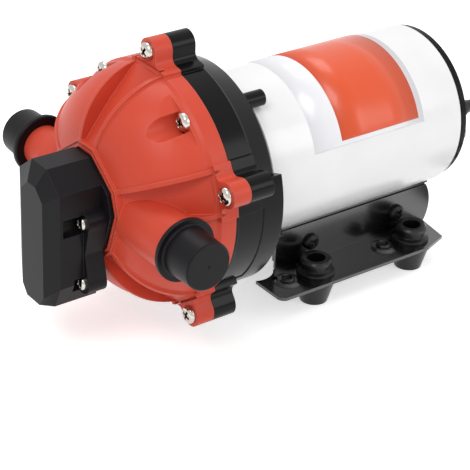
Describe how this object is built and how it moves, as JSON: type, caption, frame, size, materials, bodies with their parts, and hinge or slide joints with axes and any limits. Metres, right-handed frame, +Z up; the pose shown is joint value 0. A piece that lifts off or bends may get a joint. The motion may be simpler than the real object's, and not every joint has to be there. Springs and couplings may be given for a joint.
{
  "type": "diaphragm water pump",
  "caption": "Diaphragm water pump with a ribbed orange-red head, black drive housing and pressure switch, on a white electric motor with rubber-footed black rails",
  "frame": {"origin": "on the floor, in the middle of the four foot bolts", "axes": "+X along the motor to its rear, -X to the pump head and its switch, +Z up, -Y the near port"},
  "size_m": [0.3753, 0.1958, 0.1753],
  "materials": {
    "red_plastic": "satin moulded nylon, orange red",
    "black_plastic": "fine-grained moulded nylon",
    "grey_plastic": "plain moulded acetal",
    "bright_screws": "bright nickel-plated steel",
    "black_rubber": "smooth moulded rubber",
    "valve_rubber": "soft valve rubber",
    "diaphragm_rubber": "fabric-backed rubber",
    "white_paint": "glossy white stoved paint",
    "cast_aluminium": "as cast, machined faces",
    "ferrite": "sintered ferrite",
    "bearing_steel": "ground bearing steel",
    "core_steel": "stacked sheet steel",
    "spring_steel": "spring steel",
    "carbon": "pressed carbon",
    "copper": "bare and enamelled copper",
    "lead_sheath": "flexible cable sheath",
    "black_steel": "black stoved paint on bent sheet"
  },
  "bodies": {
    "root": {"pump_cover": "red_plastic", "drive_housing": "black_plastic", "ear_screws": "bright_screws", "pocket_screws": "bright_screws", "port_seal_rings": "black_rubber", "valve_plate": "grey_plastic", "inlet_valves": "valve_rubber", "outlet_valve": "valve_rubber", "head_seal": "black_rubber", "diaphragm": "diaphragm_rubber", "motor_shell": "white_paint", "motor_front_bell": "cast_aluminium", "motor_bell_screws": "bright_screws", "motor_magnets": "ferrite", "motor_bearing_outer": "bearing_steel", "motor_bearing_balls": "bearing_steel", "brush_holder": "black_plastic", "brushes": "carbon", "brush_springs": "spring_steel", "motor_rear_cap": "black_plastic", "motor_through_bolts": "bright_screws", "cable_gland": "black_rubber", "power_lead": "lead_sheath", "power_lead_coil": "lead_sheath", "lead_core_ends": "copper", "motor_bracket": "black_steel", "near_rail": "black_steel", "far_rail": "black_steel", "rail_screws": "black_steel", "rubber_foot_1": "black_rubber", "rubber_foot_2": "black_rubber", "rubber_foot_3": "black_rubber", "rubber_foot_4": "black_rubber", "switch_base": "black_plastic", "switch_cover": "black_plastic", "switch_screws": "bright_screws", "switch_diaphragm": "diaphragm_rubber", "switch_spring": "spring_steel", "microswitch": "black_plastic"},
    "rotor": {"motor_shaft": "bearing_steel", "motor_bearing_inner": "bearing_steel", "armature_core": "core_steel", "armature_windings": "copper", "commutator": "copper", "eccentric_hub": "cast_aluminium", "hub_set_screw": "bright_screws", "drive_bearing_inner": "bearing_steel"},
    "wobble": {"wobble_plate": "grey_plastic", "pistons": "grey_plastic", "piston_screws": "bright_screws", "drive_bearing_outer": "bearing_steel", "drive_bearing_balls": "bearing_steel"},
    "near_cap": {"near_port_cap": "black_plastic"},
    "far_cap": {"far_port_cap": "black_plastic"},
    "plunger": {"switch_plunger": "grey_plastic"}
  },
  "joints": [
    {"name": "rotor_spin", "type": "hinge", "parent": "root", "child": "rotor", "pos_m": [0, 0, 0.09], "axis": [1, 0, 0], "continuous": true},
    {"name": "plate_wobble", "type": "hinge", "parent": "rotor", "child": "wobble", "pos_m": [-0.12525, 0, 0.09], "axis": [0.9986, 0, 0.0523], "continuous": true, "deforming": ["diaphragm"]},
    {"name": "near_cap_slide", "type": "slide", "parent": "root", "child": "near_cap", "axis": [0, -1, 0], "range_m": [0, 0.045]},
    {"name": "far_cap_slide", "type": "slide", "parent": "root", "child": "far_cap", "axis": [0, 1, 0], "range_m": [0, 0.045]},
    {"name": "switch_press", "type": "slide", "parent": "root", "child": "plunger", "axis": [-1, 0, 0], "range_m": [0, 0.001], "stiffness_N_per_m": 2000, "deforming": ["switch_spring", "switch_diaphragm"]}
  ],
  "couplings": [
    {"joint": "plate_wobble", "follows": "rotor_spin", "ratio": -1}
  ]
}
